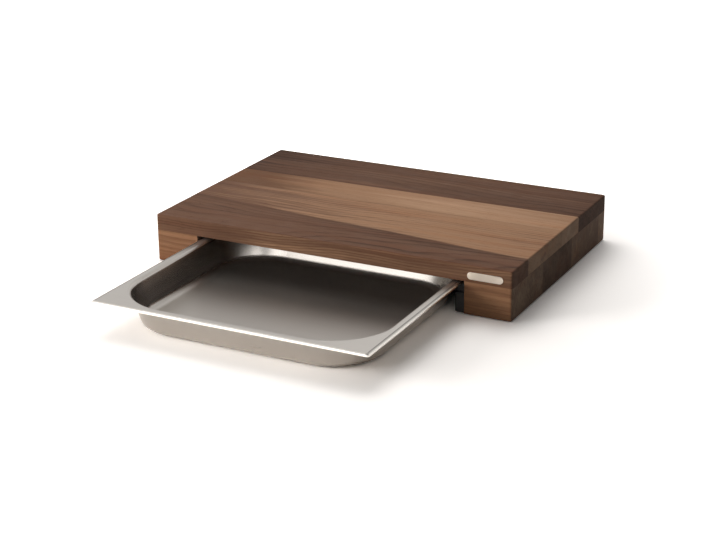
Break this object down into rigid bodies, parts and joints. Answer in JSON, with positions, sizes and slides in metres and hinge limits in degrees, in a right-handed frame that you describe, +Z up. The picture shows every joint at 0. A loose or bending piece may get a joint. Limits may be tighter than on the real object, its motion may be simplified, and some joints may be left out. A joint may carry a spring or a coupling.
{
  "type": "cutting board with drawer tray",
  "caption": "Thick walnut cutting board on side rails, with a shallow stainless pan that slides out of the front on hidden runners.",
  "frame": {"origin": "on the worktop, under the middle of the board and its pulled tray together", "axes": "+X to the right along the front, +Y from the pulled tray to the back of the board, +Z up"},
  "size_m": [0.485, 0.5576, 0.0623],
  "materials": {
    "walnut_dark": "oiled, dark reddish brown",
    "walnut_light": "oiled, light brown",
    "walnut_mid": "oiled, mid brown",
    "tray_steel": "satin",
    "badge_steel": "satin, plain",
    "runner_plastic": "matt black",
    "screw_steel": "zinc plated",
    "foot_rubber": "matt"
  },
  "bodies": {
    "board": {"back_rail": "walnut_mid", "badge_pins": "screw_steel", "badge_plate": "badge_steel", "foot_back_left": "foot_rubber", "foot_back_right": "foot_rubber", "foot_front_left": "foot_rubber", "foot_front_right": "foot_rubber", "left_rail_front_block": "walnut_mid", "left_rail_middle_block": "walnut_mid", "left_rail_rear_block": "walnut_mid", "right_rail_front_block": "walnut_mid", "right_rail_middle_block": "walnut_mid", "right_rail_rear_block": "walnut_mid", "runner_left": "runner_plastic", "runner_right": "runner_plastic", "runner_screws_left": "screw_steel", "runner_screws_right": "screw_steel", "top_stave_back": "walnut_dark", "top_stave_front": "walnut_dark", "top_stave_middle": "walnut_light"},
    "tray": {"drawer_tray": "tray_steel"}
  },
  "joints": [
    {"name": "tray_slide", "type": "slide", "parent": "board", "child": "tray", "axis": [0, -1, 0], "range_m": [-0.207, 0.073]}
  ]
}
